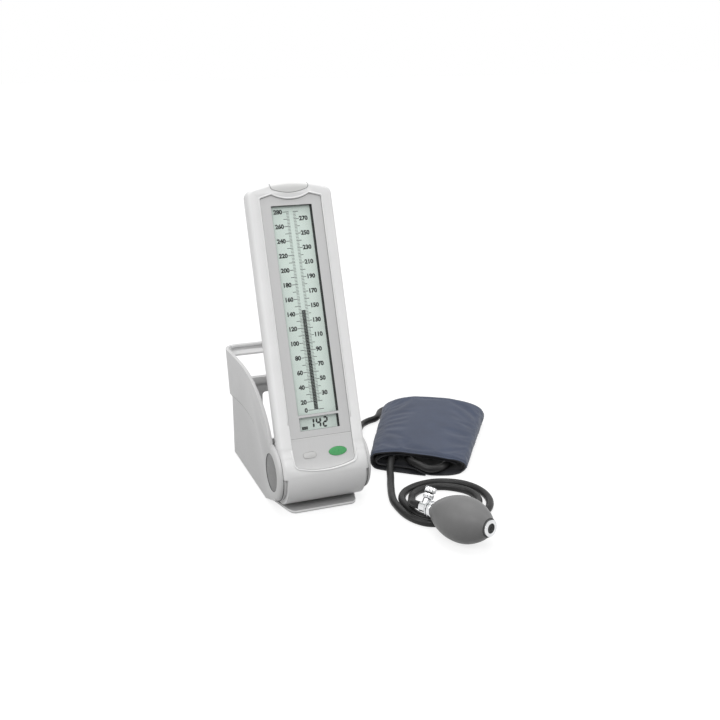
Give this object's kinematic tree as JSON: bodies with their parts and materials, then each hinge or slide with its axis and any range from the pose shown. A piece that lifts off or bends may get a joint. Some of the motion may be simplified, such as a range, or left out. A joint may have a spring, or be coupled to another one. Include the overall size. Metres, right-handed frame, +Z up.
{
  "type": "digital column sphygmomanometer",
  "caption": "Desk blood pressure gauge with a tall tilting display column in a stand, a rolled arm cuff, rubber hoses and a squeeze bulb with a release screw.",
  "frame": {"origin": "on the table, straight below the column's tilt axis and midway between the stand's cheeks", "axes": "+X to the right of the display, +Y towards the stand's handle, +Z up"},
  "size_m": [0.3124, 0.3855, 0.3198],
  "materials": {
    "white_plastic": "fine matt moulding",
    "key_white": "satin moulding",
    "stand_plastic": "fine matt moulding",
    "door_plastic": "fine matt moulding",
    "silver_film": "satin silver film",
    "green_key": "satin",
    "cap_grey": "fine matt moulding",
    "plate_paint": "satin paint",
    "lens": "clear",
    "display": "matt grey-green",
    "board": "solder mask",
    "components": "moulded",
    "contact_rubber": "matt",
    "cell_jacket": "printed jacket",
    "steel": "plated",
    "chrome": "polished plating",
    "foot_rubber": "matt",
    "hose_rubber": "matt",
    "clear_tube": "translucent",
    "bulb_rubber": "satin",
    "cuff_cloth": "woven nylon",
    "lining_cloth": "brushed loop cloth",
    "hook_tape": "hook tape"
  },
  "bodies": {
    "stand": {"stand_frame": "stand_plastic", "base_plate": "plate_paint", "rubber_feet": "foot_rubber", "hub_cap_left": "cap_grey", "hub_cap_right": "cap_grey", "pivot_stub_left": "steel", "pivot_stub_right": "steel", "friction_washers": "foot_rubber", "pivot_screws": "steel", "base_screws": "steel", "air_port": "chrome", "port_nut": "chrome", "air_tube": "clear_tube", "tube_clips": "white_plastic", "cuff_cover": "cuff_cloth", "cuff_lining": "lining_cloth", "cuff_bladder": "hose_rubber", "hook_patch": "hook_tape", "bladder_nipples": "hose_rubber", "gauge_hose": "hose_rubber", "bulb_hose": "hose_rubber", "rubber_bulb": "bulb_rubber", "bulb_end_ring": "chrome", "intake_valve": "hose_rubber", "neck_ring": "chrome", "valve_body": "chrome", "valve_packing": "hose_rubber"},
    "column": {"front_shell": "white_plastic", "rear_shell": "white_plastic", "display_fascia": "silver_film", "key_fascia": "silver_film", "display_lens": "lens", "scale_display": "display", "digit_display": "display", "display_frame": "white_plastic", "contact_strips": "contact_rubber", "main_board": "board", "board_parts": "components", "key_board": "board", "key_switches": "components", "buzzer": "components", "sensor_board": "board", "pressure_sensor": "components", "battery_tray": "white_plastic", "battery_contacts": "steel", "battery_cells": "cell_jacket", "shell_screws": "steel", "board_screws": "steel"},
    "release_screw": {"release_screw": "chrome"},
    "battery_door": {"battery_door": "door_plastic"},
    "mark_button": {"mark_button": "key_white"},
    "count_button": {"count_button": "green_key"},
    "power_key": {"power_key": "key_white"}
  },
  "joints": [
    {"name": "column_tilt", "type": "hinge", "parent": "stand", "child": "column", "pos_m": [0, 0, 0.04], "axis": [1, 0, 0], "range_deg": [-43, 21.3]},
    {"name": "release_screw_turn", "type": "hinge", "parent": "stand", "child": "release_screw", "pos_m": [0.08203, -0.0871, 0.01858], "axis": [0.4839, 0.2897, 0.8258], "range_deg": [0, 360]},
    {"name": "mark_button_press", "type": "slide", "parent": "column", "child": "mark_button", "axis": [0, 0.9317, -0.3633], "range_m": [0, 0.0012], "stiffness_N_per_m": 800, "springref_m": -0.0004},
    {"name": "count_button_press", "type": "slide", "parent": "column", "child": "count_button", "axis": [0, 0.9317, -0.3633], "range_m": [0, 0.0012], "stiffness_N_per_m": 800, "springref_m": -0.0004},
    {"name": "power_key_press", "type": "slide", "parent": "column", "child": "power_key", "axis": [0, 0.9317, -0.3633], "range_m": [0, 0.0012], "stiffness_N_per_m": 800, "springref_m": -0.0004},
    {"name": "battery_door_slide", "type": "slide", "parent": "column", "child": "battery_door", "axis": [0, 0.3633, 0.9317], "range_m": [0, 0.012]}
  ]
}
